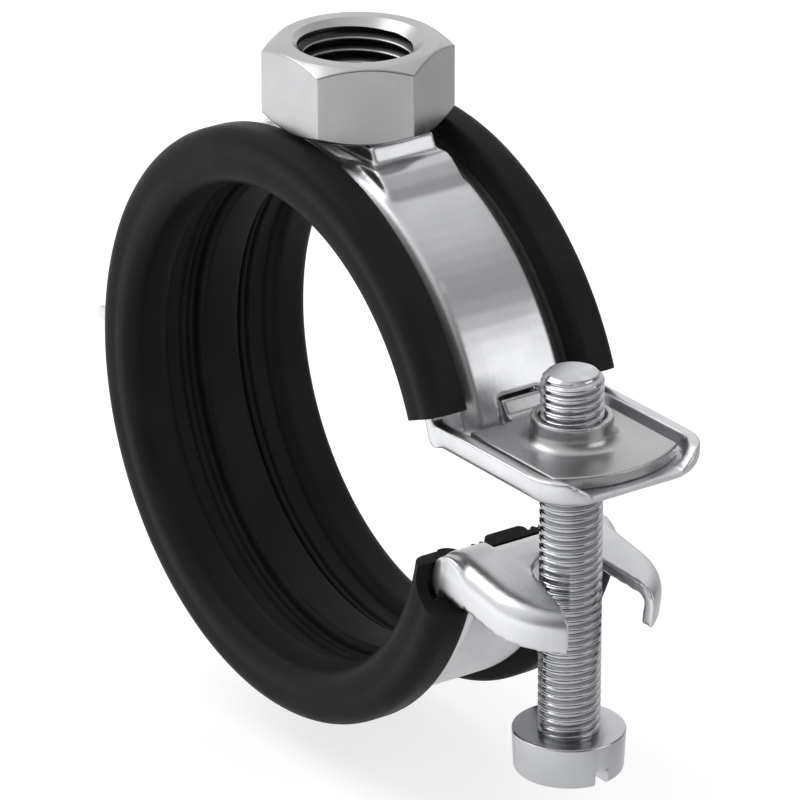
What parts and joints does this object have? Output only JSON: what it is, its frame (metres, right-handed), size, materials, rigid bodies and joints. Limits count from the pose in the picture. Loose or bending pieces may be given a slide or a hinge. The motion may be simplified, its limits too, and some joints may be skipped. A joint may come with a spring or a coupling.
{
  "type": "hinged pipe clamp",
  "caption": "Hinged steel pipe clamp with rubber lining, weld-on hexagonal connection nut and a slotted closing screw that swings into a fork.",
  "frame": {"origin": "centre of the pipe seat, halfway along the seat", "axes": "+Y along the pipe, +X towards the closing screw, +Z towards the connection nut"},
  "size_m": [0.0667, 0.0176, 0.0545],
  "materials": {
    "zinc_plated_band": "zinc-plated sheet, brushed along the strip",
    "lining_rubber": "matt black rubber with a soft sheen",
    "nut_steel": "zinc-plated, finely brushed",
    "zinc_plated_plate": "zinc-plated pressed sheet",
    "screw_steel": "zinc-plated rolled thread"
  },
  "bodies": {
    "upper_half": {"upper_band": "zinc_plated_band", "lining_upper": "lining_rubber", "connection_nut": "nut_steel"},
    "lower_half": {"lower_band": "zinc_plated_band", "lining_lower": "lining_rubber"},
    "plate": {"thread_plate": "zinc_plated_plate"},
    "screw": {"closing_screw": "screw_steel"}
  },
  "joints": [
    {"name": "half_swing", "type": "hinge", "parent": "upper_half", "child": "lower_half", "pos_m": [-0.02845, 0, -0.0007], "axis": [0, 1, 0], "range_deg": [-9.1, 6.5]},
    {"name": "plate_rock", "type": "hinge", "parent": "upper_half", "child": "plate", "pos_m": [0.0223, 0, 0.0061], "axis": [0, -1, 0], "range_deg": [0, 40]},
    {"name": "screw_travel", "type": "slide", "parent": "plate", "child": "screw", "axis": [0, 0, 1], "range_m": [-0.0035, 0.0035]}
  ]
}
